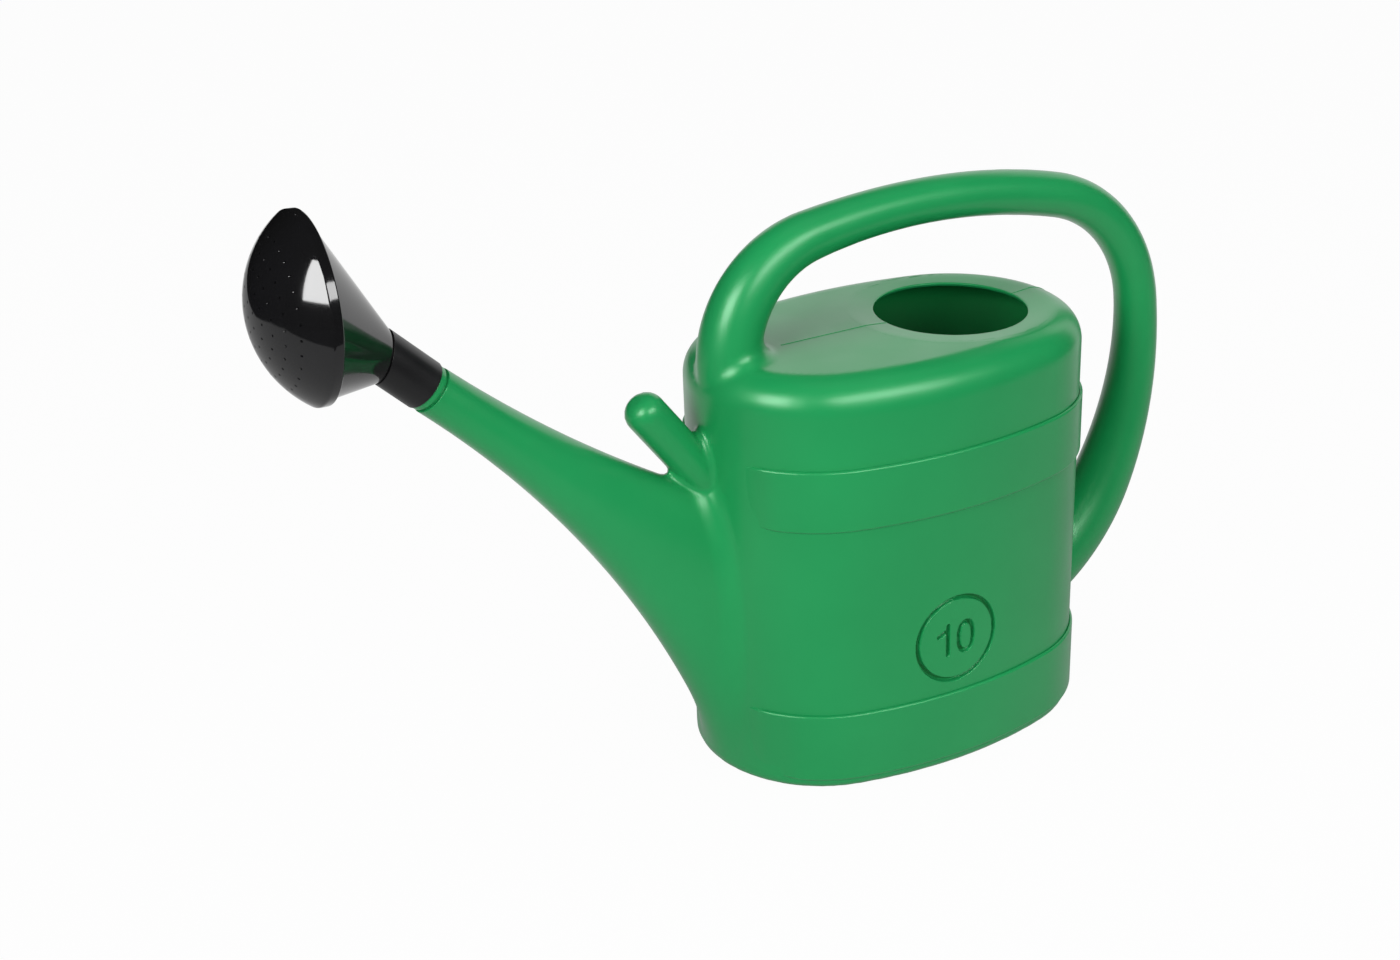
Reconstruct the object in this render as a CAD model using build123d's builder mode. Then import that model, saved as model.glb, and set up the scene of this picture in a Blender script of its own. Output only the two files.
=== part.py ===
from build123d import *

import os
from math import cos, radians, sin, tan

# A ten litre watering can: one blow-moulded can with a push-on rose of two mouldings. Millimetres.
# +Z is up, the spout points to -X and the handle is at +X. The XZ plane cuts the can in half, and the
# origin is the middle of the tank's base, on the ground.

# Tank: an oval of four tangent arcs with two proud bands and a round filler hole
tank_length = 261
tank_width = 175
tank_height = 268
tank_side_radius = 273
shoulder_radius = 20
base_radius = 6
wall = 1.8
band_proud = 1.0
band_front_fade = 0.9
band_edge_radius = 0.4
base_band_lift = 7.5
base_band_height = 45.5
belt_drop = 53
belt_height = 39
filler_diameter = 97
filler_offset = 48
filler_lip_radius = 3.5
filler_lip_depth = 10

# Spout: a horn between two bowed lines, round at its mouth, tall and narrow at its root inside the tank
mouth_reach = 169
mouth_rise = 24.3
mouth_lift = 44
mouth_diameter = 28
spout_root_width = 54
spout_top_inside = 28
spout_top_drop = 94
spout_top_bow = 816
spout_bottom_inside = 3
spout_bottom_z = 8.4
spout_bottom_bow = 658
spout_sections = 7
spout_blend = 16

# Spout end: a groove, a plain ring and the spigot that the rose is pushed on
ring_length = 5
ring_set_back = 0.3
groove_width = 0.9
groove_depth = 0.9
spigot_step = 1.5
spigot_wall = 2
spigot_end_gap = 2
spigot_chamfer = 0.8
spout_bore_overlap = 2

# Handle: a hollow tube along a straight root and five tangent bends, thicker at both roots.
# A rise or fall is the centre line's slope in degrees, above or below the level way back
handle_set_back = 20.2
handle_root_depth = 44.3
handle_root_length = 40
handle_root_radius = 19.5
front_bend_radius = 69.5
grip_front_rise = 10.6
grip_front_radius = 15.2
grip_back_fall = 14.5
grip_radius = 14.1
back_bend_radius = 94.6
leg_top_fall = 83.7
leg_top_radius = 13.9
leg_bow_radius = 229.5
leg_low_fall = 115.9
leg_low_radius = 19.5
hook_bend_radius = 127.7
hook_fall = 155.9
hook_end_radius = 23
hook_inside = 16.2
handle_front_blend = 10
handle_low_blend = 10

# Peg that stores the rose: a round-ended stub in the corner of spout and tank
peg_reach = 36.5
peg_rise = 72
peg_lift = 53
peg_diameter = 25
peg_length = 74
peg_end_flat = 5
peg_blend = 4

# Rose: a socket mitred to a cone, and a domed face of pierced rings pushed over the cone's flange
socket_clearance = 0.1
socket_wall = 1.9
socket_gap = 0.3
socket_length = 31
rose_wall = 1.6
rose_reach = 80.5
rim_lift = 2.4
cone_step = 0.7
flange_diameter = 100
flange_lip = 1
flange_thickness = 2.5
face_clearance = 0.3
seat_gap = 0.1
seat_width = 1.5
skirt_height = 5.5
skirt_edge_radius = 1.8
dome_height = 33
hole_diameter = 1.4
hole_pitch = 8
hole_rings = 5
hole_sides = 8


def slanted(degrees):
    """The direction forward along -X, lifted by an angle."""
    return Vector(-cos(radians(degrees)), 0, sin(radians(degrees)))


# The tank's front, the spout's axis at its mouth, and the planes that the rose's mitre and rim lie in
front = -tank_length / 2
spout_axis = slanted(mouth_lift)
mouth = Vector(front - mouth_reach, 0, tank_height + mouth_rise)
horn_end = mouth - spout_axis * ring_length
mitre_lift = (mouth_lift + rim_lift) / 2
mitre_turn = radians(mouth_lift - mitre_lift)
mitre_plane = Plane(mouth + spout_axis * socket_length, x_dir=(0, 1, 0), z_dir=slanted(mitre_lift))
rim_axis = slanted(rim_lift)
rim_plane = Plane(mouth + spout_axis * rose_reach, x_dir=(0, 1, 0), z_dir=rim_axis)

# The spigot fills the socket and stops short of its mitre, and the spout's top line sets the peg's height
spigot_radius = mouth_diameter / 2 - spigot_step
spigot_length = socket_length - spigot_radius * tan(mitre_turn) - spigot_end_gap
socket_bore_radius = spigot_radius + socket_clearance
socket_radius = socket_bore_radius + socket_wall
spout_top_z = tank_height - spout_top_drop


def oval(length, width, side_radius, shift=0):
    """A face of two flat side arcs and two rounder end arcs, all tangent, moved along X by shift."""
    a = length / 2
    b = width / 2
    end_radius = (2 * b * side_radius - a * a - b * b) / (2 * (side_radius - a))
    reach = side_radius / (side_radius - end_radius)
    x = (a - end_radius) * reach
    y = (b - side_radius) * (1 - reach)
    with BuildSketch() as outline:
        with BuildLine():
            ThreePointArc((shift + x, y), (shift, b), (shift - x, y))
            ThreePointArc((shift - x, y), (shift - a, 0), (shift - x, -y))
            ThreePointArc((shift - x, -y), (shift, -b), (shift + x, -y))
            ThreePointArc((shift + x, -y), (shift + a, 0), (shift + x, y))
        make_face()
    return outline.sketch


def tank_form(inset):
    """The tank without its bands, drawn in by inset all round."""
    with BuildPart() as form:
        with BuildSketch(Plane.XY.offset(inset)):
            add(oval(tank_length - 2 * inset, tank_width - 2 * inset, tank_side_radius - inset))
        extrude(amount=tank_height - 2 * inset)
        fillet(form.faces().sort_by(Axis.Z)[-1].edges(), shoulder_radius - inset)
        fillet(form.faces().sort_by(Axis.Z)[0].edges(), base_radius - inset)
    return form.part


def band_form(bottom, height):
    """A band that stands proud of the tank's sides and back and sinks into its front."""
    length = tank_length + band_proud - band_front_fade
    shift = (band_proud + band_front_fade) / 2
    with BuildPart() as form:
        with BuildSketch(Plane.XY.offset(bottom)):
            add(oval(length, tank_width + 2 * band_proud, tank_side_radius + band_proud, shift))
        extrude(amount=height)
        fillet(form.faces().filter_by(Axis.Z).edges(), band_edge_radius)
    return form.part


def spout_form(inset):
    """The horn from its mouth to its root inside the tank, lofted through ellipses between its two bowed lines."""
    across = spout_axis.cross(Vector(0, 1, 0)) * (mouth_diameter / 2)
    end_top = horn_end - across
    end_bottom = horn_end + across
    with BuildLine() as top_line:
        RadiusArc((end_top.X, end_top.Z), (front + spout_top_inside, spout_top_z), -spout_top_bow)
    with BuildLine() as bottom_line:
        RadiusArc((end_bottom.X, end_bottom.Z), (front + spout_bottom_inside, spout_bottom_z), spout_bottom_bow)
    with BuildPart() as form:
        for i in range(spout_sections):
            t = i / (spout_sections - 1)
            top = Plane.XZ.from_local_coords(top_line.line @ t)
            bottom = Plane.XZ.from_local_coords(bottom_line.line @ t)
            width = mouth_diameter + (spout_root_width - mouth_diameter) * t
            down = bottom - top
            with BuildSketch(Plane((top + bottom) / 2, x_dir=down, z_dir=down.cross(Vector(0, 1, 0)))):
                Ellipse(down.length / 2 - inset, width / 2 - inset)
        loft()
    return form.part


def bend_run(slope, next_slope):
    """How far along X a bend of radius 1 goes while it turns down from one slope to the next."""
    return sin(radians(slope)) - sin(radians(next_slope))


# The grip's bow is as large as the handle needs to end inside the tank's back
other_bends = (
    front_bend_radius * bend_run(90, grip_front_rise)
    + back_bend_radius * bend_run(-grip_back_fall, -leg_top_fall)
    + leg_bow_radius * bend_run(-leg_top_fall, -leg_low_fall)
    + hook_bend_radius * bend_run(-leg_low_fall, -hook_fall)
)
grip_run = tank_length - handle_set_back - hook_inside - other_bends
grip_bow_radius = grip_run / bend_run(grip_front_rise, -grip_back_fall)


def handle_form(inset):
    """The handle's tube, swept through a round section at the end of each bend."""
    bends = (
        (front_bend_radius, 90 - grip_front_rise, grip_front_radius),
        (grip_bow_radius, grip_front_rise + grip_back_fall, grip_radius),
        (back_bend_radius, leg_top_fall - grip_back_fall, leg_top_radius),
        (leg_bow_radius, leg_low_fall - leg_top_fall, leg_low_radius),
        (hook_bend_radius, hook_fall - leg_low_fall, hook_end_radius),
    )
    x = front + handle_set_back
    z = tank_height - handle_root_depth
    with BuildLine() as centre_line:
        run = Line((x, z), (x, z + handle_root_length))
        for bend, turn, _ in bends:
            run = JernArc(run @ 1, run % 1, bend, -turn)
    path = Plane.XZ.from_local_coords(centre_line.wire())
    with BuildPart() as form:
        with BuildSketch(Plane(path @ 0, x_dir=(0, 1, 0), z_dir=path % 0)):
            Circle(handle_root_radius - inset)
        for edge, radius in zip(path.edges(), [handle_root_radius] + [bend[2] for bend in bends]):
            with BuildSketch(Plane(edge @ 1, x_dir=(0, 1, 0), z_dir=edge % 1)):
                Circle(radius - inset)
        sweep(path=path, multisection=True)
    return form.part


def peg_form(inset):
    """The peg, from its rounded end down into the corner of spout and tank."""
    up = slanted(peg_lift)
    root = Vector(front - peg_reach, 0, spout_top_z + peg_rise) - up * peg_length
    radius = peg_diameter / 2 - inset
    flat = peg_end_flat / 2
    rounding = radius - flat
    with BuildPart() as form:
        with BuildSketch(Plane(root, x_dir=(0, 1, 0), z_dir=Vector(0, 1, 0).cross(up))):
            with BuildLine():
                CenterArc((flat, peg_length), rounding, 0, 90)
                end = peg_length + rounding
                Polyline((flat, end), (0, end), (0, 0), (radius, 0), (radius, peg_length))
            make_face()
        revolve(axis=Axis(root, up))
    return form.part


# The hollow inside the can, all one space
with BuildPart() as hollow:
    add(tank_form(wall))
    add(handle_form(wall))
    add(spout_form(wall))
    add(peg_form(wall))

# The can: outer forms blended into each other, then the hollow, the filler mouth and the spout's end
with BuildPart() as can_body:
    add(tank_form(0))
    add(handle_form(0))
    roots = can_body.edges(Select.NEW)
    fillet(roots.filter_by(lambda edge: edge.center().X < 0), handle_front_blend)
    fillet(roots.filter_by(lambda edge: edge.center().X > 0), handle_low_blend)
    add(band_form(base_band_lift, base_band_height))
    add(band_form(tank_height - belt_drop - belt_height, belt_height))
    add(spout_form(0))
    fillet(can_body.edges(Select.NEW), spout_blend)
    add(peg_form(0))
    fillet(can_body.edges(Select.NEW), peg_blend)
    add(hollow.part, mode=Mode.SUBTRACT)
    with BuildSketch(Plane.XY.offset(tank_height - filler_lip_depth)):
        with Locations((filler_offset, 0)):
            Circle(filler_diameter / 2 + wall)
    extrude(amount=filler_lip_depth - wall / 2)
    with BuildSketch(Plane.XY.offset(tank_height)):
        with Locations((filler_offset, 0)):
            Circle(filler_diameter / 2)
    extrude(amount=-filler_lip_depth, mode=Mode.SUBTRACT)
    lip = can_body.faces().filter_by(Axis.Z).sort_by(Axis.Z)[-1].edges().filter_by(GeomType.CIRCLE)
    fillet(lip.sort_by(Edge.length)[-1], filler_lip_radius)
    with BuildSketch(Plane(horn_end, z_dir=spout_axis)):
        Circle(mouth_diameter / 2 - groove_depth)
    extrude(amount=groove_width)
    with BuildSketch(Plane(horn_end + spout_axis * groove_width, z_dir=spout_axis)):
        Circle(mouth_diameter / 2 - ring_set_back)
    extrude(amount=ring_length - groove_width)
    with BuildSketch(Plane(mouth, z_dir=spout_axis)):
        Circle(spigot_radius)
    extrude(amount=spigot_length)
    chamfer(can_body.faces().sort_by(Axis(mouth, spout_axis))[-1].edges(), spigot_chamfer)
    with BuildSketch(Plane(mouth + spout_axis * spigot_length, z_dir=spout_axis)):
        Circle(spigot_radius - spigot_wall)
    extrude(amount=-(spigot_length + ring_length + spout_bore_overlap), mode=Mode.SUBTRACT)


def socket_form(radius):
    """A round bar along the spout's axis, from the socket's open end to the mitre."""
    with BuildPart() as form:
        with BuildSketch(Plane(mouth + spout_axis * socket_gap, z_dir=spout_axis)):
            Circle(radius)
        extrude(amount=socket_length + 2 * radius)
        split(bisect_by=mitre_plane, keep=Keep.BOTTOM)
    return form.part


def cone_form(inset):
    """The cone from the mitre's ellipse to the round rim, drawn in by inset."""
    small_radius = socket_radius - cone_step - inset
    with BuildPart() as form:
        with BuildSketch(mitre_plane):
            Ellipse(small_radius, small_radius / cos(mitre_turn))
        with BuildSketch(rim_plane):
            Circle(flange_diameter / 2 - flange_lip - inset)
        loft(ruled=True)
    return form.part


# The rose's funnel: socket, cone and flange
with BuildPart() as rose_funnel:
    add(socket_form(socket_radius))
    add(cone_form(0))
    with BuildSketch(rim_plane):
        Circle(flange_diameter / 2)
    extrude(amount=flange_thickness)
    add(socket_form(socket_bore_radius), mode=Mode.SUBTRACT)
    add(cone_form(rose_wall), mode=Mode.SUBTRACT)
    with BuildSketch(rim_plane):
        Circle(flange_diameter / 2 - flange_lip - rose_wall)
    extrude(amount=flange_thickness, mode=Mode.SUBTRACT)

# The rose's face: a turned profile of skirt and dome, pierced parallel to its axis
skirt_inside = flange_diameter / 2 + face_clearance
face_radius = skirt_inside + rose_wall
dome_rise = dome_height - skirt_height
dome_radius = (face_radius**2 + dome_rise**2) / (2 * dome_rise)
inner_dome_radius = dome_radius - rose_wall
seat_inside = flange_diameter / 2 - seat_width
seat_bottom = flange_thickness + seat_gap
seat_top = dome_height - dome_radius + (inner_dome_radius**2 - seat_inside**2) ** 0.5
with BuildPart() as rose_face:
    with BuildSketch(Plane(rim_plane.origin, x_dir=(0, 1, 0), z_dir=Vector(0, 1, 0).cross(rim_axis))) as profile:
        with BuildLine():
            Polyline(
                (seat_inside, seat_top),
                (seat_inside, seat_bottom),
                (skirt_inside, seat_bottom),
                (skirt_inside, 0),
                (face_radius, 0),
                (face_radius, skirt_height),
            )
            RadiusArc((face_radius, skirt_height), (0, dome_height), -dome_radius)
            Line((0, dome_height), (0, dome_height - rose_wall))
            RadiusArc((0, dome_height - rose_wall), (seat_inside, seat_top), inner_dome_radius)
        make_face()
        fillet(profile.vertices().group_by(Axis.X)[-1].sort_by(Axis.Y)[-1], skirt_edge_radius)
    revolve(axis=Axis(rim_plane.origin, rim_axis))
    with BuildSketch(rim_plane.offset(seat_top)):
        RegularPolygon(hole_diameter / 2, hole_sides)
        for ring in range(1, hole_rings + 1):
            with PolarLocations(ring * hole_pitch, 6 * ring):
                RegularPolygon(hole_diameter / 2, hole_sides)
    extrude(amount=dome_height, mode=Mode.SUBTRACT)

os.makedirs("parts", exist_ok=True)
can_body.part.label = "can_body"
export_step(can_body.part, "parts/can_body.step")
rose_funnel.part.label = "rose_funnel"
export_step(rose_funnel.part, "parts/rose_funnel.step")
rose_face.part.label = "rose_face"
export_step(rose_face.part, "parts/rose_face.step")
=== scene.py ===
# %% [markdown]
# # A watering can and its rose
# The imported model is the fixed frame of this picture: a green can, the black funnel of its rose and the pierced
# face of the rose. It already has the right sizes and joints, and nothing here moves it. This lesson builds smooth
# meshes in the same places, gives them their finish, and lights them like a product on a white sheet of paper.

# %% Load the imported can
from math import cos, pi, radians, sin, tan

import bmesh
import bpy
import numpy as np
from mathutils import Matrix, Vector


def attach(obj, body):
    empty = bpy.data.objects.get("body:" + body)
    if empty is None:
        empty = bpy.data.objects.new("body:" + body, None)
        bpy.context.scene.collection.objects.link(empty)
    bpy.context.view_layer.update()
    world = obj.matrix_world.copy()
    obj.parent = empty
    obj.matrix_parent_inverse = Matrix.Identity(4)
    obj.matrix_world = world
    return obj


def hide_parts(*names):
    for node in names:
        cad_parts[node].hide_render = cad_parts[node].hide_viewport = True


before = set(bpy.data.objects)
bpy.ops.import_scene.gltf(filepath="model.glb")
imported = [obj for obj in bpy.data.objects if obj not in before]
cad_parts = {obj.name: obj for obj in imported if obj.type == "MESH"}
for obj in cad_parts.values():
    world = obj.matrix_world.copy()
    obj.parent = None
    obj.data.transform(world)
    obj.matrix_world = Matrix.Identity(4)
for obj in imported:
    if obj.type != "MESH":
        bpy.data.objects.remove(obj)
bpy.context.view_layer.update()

# %% [markdown]
# ## Places that several pieces share
# A maker draws such a can in millimetres, so the sizes below are millimetres and become metres when a mesh is made.
# The can is the same on both sides of the XZ plane. The spout points to -X, and all its parts hang on one axis.

# %% Shared sizes and directions
METRES = 0.001
TANK_LENGTH, TANK_WIDTH, TANK_HEIGHT = 261.0, 175.0, 268.0
SIDE_RADIUS = 273.0
FRONT = -TANK_LENGTH / 2
SPOUT_LIFT, MOUTH_AHEAD, MOUTH_ABOVE = 44.0, 169.0, 24.3
MOUTH_RADIUS, RING_LENGTH = 14.0, 5.0
UPWARD, SIDEWAYS = np.array([0.0, 0.0, 1.0]), np.array([0.0, 1.0, 0.0])


def forward(lift):
    """The direction along -X, lifted by some degrees."""
    return np.array([-cos(radians(lift)), 0.0, sin(radians(lift))])


def full_turn(count):
    """Angles evenly spread round a circle."""
    return np.arange(count) * 2 * pi / count


def eased(share):
    """A share from 0 to 1 that sets off and arrives gently."""
    return share * share * (3 - 2 * share)


spout_axis = forward(SPOUT_LIFT)
mouth = np.array([FRONT - MOUTH_AHEAD, 0.0, TANK_HEIGHT + MOUTH_ABOVE])
horn_end = mouth - RING_LENGTH * spout_axis
print("spout mouth at", mouth.round(1), "mm")

# %% [markdown]
# ## The can's form as a field of distances
# The real can is one blow moulding: tank, spout, handle and peg flow into each other with soft fillets. Booleans and
# bevels leave creases in such places. A field of distances doesn't: each form says how far a point is from its skin
# and which way is out, and two forms are joined by rolling a ball of the fillet's radius along the corner.
# A result has four rows: the distance, negative inside, and the three parts of the outward direction.

# %% Joining and cutting distance fields
NEARLY_PARALLEL = 0.97


def length_of(rows):
    return np.sqrt((rows**2).sum(0)) + 1e-12


def join_with_fillet(one, other, radius):
    """Both forms together, with a ball of that radius rolled along the corner between them."""
    turn = np.clip((one[1:] * other[1:]).sum(0), -NEARLY_PARALLEL, NEARLY_PARALLEL)
    a, b = one[0] - radius, other[0] - radius
    share_one = (turn * b - a) / (1 - turn**2)
    share_other = (turn * a - b) / (1 - turn**2)
    reach = share_one * one[1:] + share_other * other[1:]
    rolled = np.vstack([radius - length_of(reach), reach / length_of(reach)])
    nearest = np.where(one[0] < other[0], one, other)
    return np.where((share_one > 0) & (share_other > 0), rolled, nearest)


def cut_with_round_edge(one, other, radius):
    """What lies in both forms, with the edge between their skins rounded."""
    a, b = np.maximum(one[0] + radius, 0), np.maximum(other[0] + radius, 0)
    reach = a * one[1:] + b * other[1:]
    rounded = np.vstack([np.hypot(a, b) - radius, reach / length_of(reach)])
    deepest = np.where(one[0] > other[0], one, other)
    return np.where((a > 0) & (b > 0), rounded, deepest)


def level(points, height, way):
    """The space below a level (way 1) or above it (way -1)."""
    up = np.zeros_like(points)
    up[2] = way
    return np.vstack([way * (points[2] - height), up])


def round_bar(points, start, axis, radius):
    """An endless round bar."""
    away = points - np.array(start)[:, None]
    away = away - np.array(axis)[:, None] * (np.array(axis) @ away)
    return np.vstack([length_of(away) - radius, away / length_of(away)])


# %% [markdown]
# ## Tank
# In plan the tank is an oval of two flat side arcs and two rounder end arcs. Its top has a wide soft shoulder, and its
# base a small one. The distance to an arc is exact, so the shoulder comes out as the true rolled edge.

# %% Tank field
SHOULDER_RADIUS, BASE_RADIUS = 20.0, 6.0


def oval_arcs(length, width, side_radius):
    """Where the centres of the side arc and the end arc lie, and the end arc's radius."""
    a, b = length / 2, width / 2
    end_radius = (2 * b * side_radius - a * a - b * b) / (2 * (side_radius - a))
    return b - side_radius, a - end_radius, end_radius


def tank_field(points):
    side_y, end_x, end_radius = oval_arcs(TANK_LENGTH, TANK_WIDTH, SIDE_RADIUS)
    x, y = np.abs(points[0]), np.abs(points[1])
    on_end = -side_y * x > end_x * (y - side_y)
    away = np.vstack([np.where(on_end, x - end_x, x), np.where(on_end, y, y - side_y), 0 * x])
    reach = length_of(away)
    plan = reach - np.where(on_end, end_radius, SIDE_RADIUS)
    out = away / reach * np.vstack([np.sign(points[0]), np.sign(points[1]), 0 * x])
    wall = np.vstack([plan, out])
    capped = cut_with_round_edge(wall, level(points, TANK_HEIGHT, 1), SHOULDER_RADIUS)
    return cut_with_round_edge(capped, level(points, 0.0, -1), BASE_RADIUS)


# %% [markdown]
# ## Spout
# The spout is a horn: round at its mouth, tall and narrow where it grows out of the tank. Two bowed lines in the middle
# plane carry it, and at equal shares along them lies an ellipse. For a point in space the right ellipse is found by
# halving the interval until the ellipse's plane goes through the point. The last few millimetres are a piece of their
# own.

# %% Spout field
ROOT_WIDTH = 54.0
SPOUT_TOP_Z = TANK_HEIGHT - 94.0
TOP_ROOT, TOP_BOW = (FRONT + 28.0, SPOUT_TOP_Z), 816.0
BOTTOM_ROOT, BOTTOM_BOW = (FRONT + 3.0, 8.4), -658.0
HORN_CUT, HORN_EDGE = 0.02, 0.5
SECTION_HALVINGS = 22


def bowed_line(start, end, radius):
    """A line in the XZ plane as a function of its share. A positive radius has its centre on the left of the way."""
    start, end = np.array(start), np.array(end)
    way = end - start
    chord = np.hypot(*way)
    left = np.array([-way[1], way[0]]) / chord
    centre = (start + end) / 2 + left * np.sign(radius) * (radius**2 - chord**2 / 4) ** 0.5
    first = np.arctan2(*(start - centre)[::-1])
    last = np.arctan2(*(end - centre)[::-1])
    sweep = (last - first + pi) % (2 * pi) - pi

    def at(share):
        angle = first + sweep * share
        return centre[0] + abs(radius) * np.cos(angle), centre[1] + abs(radius) * np.sin(angle)

    return at


mouth_across = MOUTH_RADIUS * np.array([-sin(radians(SPOUT_LIFT)), -cos(radians(SPOUT_LIFT))])
horn_top = bowed_line(horn_end[[0, 2]] - mouth_across, TOP_ROOT, TOP_BOW)
horn_bottom = bowed_line(horn_end[[0, 2]] + mouth_across, BOTTOM_ROOT, BOTTOM_BOW)


def horn_width(share):
    """Half the spout's width at a share of its length."""
    return MOUTH_RADIUS + (ROOT_WIDTH / 2 - MOUTH_RADIUS) * share


def horn_section(points, share):
    """How far a point is past that section, and its place and the section's size in the section's own plane."""
    top, bottom = np.array(horn_top(share)), np.array(horn_bottom(share))
    half = np.hypot(*(bottom - top)) / 2
    down = (bottom - top) / (2 * half)
    from_middle = points[[0, 2]] - (top + bottom) / 2
    past = down[0] * from_middle[1] - down[1] * from_middle[0]
    return past, (from_middle * down).sum(0), half, down


def horn_field(points, inset=0.0):
    low, high = np.zeros(points.shape[1]), np.ones(points.shape[1])
    for _ in range(SECTION_HALVINGS):
        share = (low + high) / 2
        past = horn_section(points, share)[0] > 0
        low, high = np.where(past, share, low), np.where(past, high, share)
    past, along, half, down = horn_section(points, low)
    width = horn_width(low)
    size = np.hypot(along / half, points[1] / width)
    pull = np.vstack([along / half**2 * down[0], points[1] / width**2, along / half**2 * down[1]])
    steep = length_of(pull)
    skin = np.vstack([size * (size - 1) / steep, pull / steep])
    if inset:
        skin[0] = (size - 1) * width + inset
    ends = np.zeros_like(skin)
    before = -horn_section(points, np.full(1, HORN_CUT))[0]
    behind = horn_section(points, np.ones(1))[0]
    ends[0] = np.maximum(before, behind)
    ends[1:] = np.where(before > behind, spout_axis[:, None], -spout_axis[:, None])
    return cut_with_round_edge(skin, ends, HORN_EDGE)


# %% [markdown]
# ## Handle and peg
# The handle is a tube along a straight root and five tangent bends, thick at both roots and slimmer at the grip. The
# nearest point of each bend is known from the angle round the bend's centre, so the tube's distance is exact.
# The peg, which stores the rose, is a round-ended bar in the corner of spout and tank.

# %% Handle and peg fields
handle_start = np.array([FRONT + 20.2, TANK_HEIGHT - 44.3])
HANDLE_ROOT_LENGTH, HANDLE_ROOT_RADIUS = 40.0, 19.5
# bend radius, slope of the way at its end in degrees, tube radius at its end
HANDLE_BENDS = [
    (69.5, 10.6, 15.2),
    (None, -14.5, 14.1),
    (94.6, -83.7, 13.9),
    (229.5, -115.9, 19.5),
    (127.7, -155.9, 23.0),
]
HANDLE_END_X = -FRONT - 16.2


def bend_run(slope, next_slope):
    return sin(radians(slope)) - sin(radians(next_slope))


slopes = [90.0] + [bend[1] for bend in HANDLE_BENDS]
runs = [bend_run(slope, after) for slope, after in zip(slopes, slopes[1:])]
others = sum(bend[0] * run for bend, run in zip(HANDLE_BENDS, runs) if bend[0])
grip_bow = (HANDLE_END_X - handle_start[0] - others) / runs[1]
handle_arcs = []
place = handle_start + [0, HANDLE_ROOT_LENGTH]
stations = [0.0, HANDLE_ROOT_LENGTH]
for (bend, after, _), slope in zip(HANDLE_BENDS, slopes):
    bend = bend or grip_bow
    centre = place + bend * np.array([sin(radians(slope)), -cos(radians(slope))])
    handle_arcs.append((centre, bend, radians(slope), radians(after), stations[-1]))
    place = centre + bend * np.array([-sin(radians(after)), cos(radians(after))])
    stations.append(stations[-1] + bend * radians(slope - after))
print("grip bow radius", round(grip_bow), "mm, handle", round(stations[-1]), "mm long, ends at", place.round(1))


def spline_through(places, values):
    """A smooth curve of values through places, with no bend at its two ends."""
    places, values = np.array(places), np.array(values)
    gaps, steps = np.diff(places), np.diff(values)
    system, load = np.eye(len(places)), np.zeros(len(places))
    for i in range(1, len(places) - 1):
        system[i, i - 1 : i + 2] = gaps[i - 1], 2 * (gaps[i - 1] + gaps[i]), gaps[i]
        load[i] = 6 * (steps[i] / gaps[i] - steps[i - 1] / gaps[i - 1])
    bends = np.linalg.solve(system, load)

    def at(place):
        i = np.clip(np.searchsorted(places, place) - 1, 0, len(gaps) - 1)
        b = (place - places[i]) / gaps[i]
        a = 1 - b
        bow = (a**3 - a) * bends[i] + (b**3 - b) * bends[i + 1]
        return a * values[i] + b * values[i + 1] + bow * gaps[i] ** 2 / 6

    return at


tube_radius = spline_through(stations, [HANDLE_ROOT_RADIUS] * 2 + [bend[2] for bend in HANDLE_BENDS])


def tube_from(points, near_x, near_z, radius):
    away = np.vstack([points[0] - near_x, points[1], points[2] - near_z])
    return np.vstack([length_of(away) - radius, away / length_of(away)])


def handle_field(points):
    up = np.clip(points[2], handle_start[1], handle_start[1] + HANDLE_ROOT_LENGTH)
    best = tube_from(points, handle_start[0], up, HANDLE_ROOT_RADIUS)
    for centre, bend, slope, after, station in handle_arcs:
        angle = np.arctan2(points[2] - centre[1], points[0] - centre[0]) - pi / 2
        middle = (slope + after) / 2
        angle = (angle - middle + pi) % (2 * pi) - pi + middle
        angle = np.clip(angle, after, slope)
        near_x, near_z = centre[0] - bend * np.sin(angle), centre[1] + bend * np.cos(angle)
        part = tube_from(points, near_x, near_z, tube_radius(station + bend * (slope - angle)))
        best = np.where(part[0] < best[0], part, best)
    return best


PEG_RADIUS, PEG_LENGTH, PEG_LIFT = 12.5, 74.0, 53.0
PEG_AHEAD, PEG_ABOVE = 36.5, 72.0
PEG_ROUNDING, PEG_ROOT_ROUNDING = 10.0, 2.0
peg_axis = forward(PEG_LIFT)
peg_root = np.array([FRONT - PEG_AHEAD, 0.0, SPOUT_TOP_Z + PEG_ABOVE]) - PEG_LENGTH * peg_axis


def peg_field(points):
    along = peg_axis @ (points - peg_root[:, None])
    axis = np.broadcast_to(peg_axis[:, None], points.shape)
    tip = np.vstack([along - PEG_LENGTH - PEG_ROUNDING, axis])
    bar = cut_with_round_edge(round_bar(points, peg_root, peg_axis, PEG_RADIUS), tip, PEG_ROUNDING)
    return cut_with_round_edge(bar, np.vstack([-along, -axis]), PEG_ROOT_ROUNDING)


# %% [markdown]
# ## The whole can
# The outer skin is the four forms joined by their fillets. The tank and the spout, drawn in by the wall, are the hollow
# inside, which shows through the filler hole. The wall is thicker than the real one, because the grid below has to have
# a cell between its two skins. The hole is cut too wide here, and wider towards the inside: its crisp lip is a turned
# piece of its own.

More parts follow.
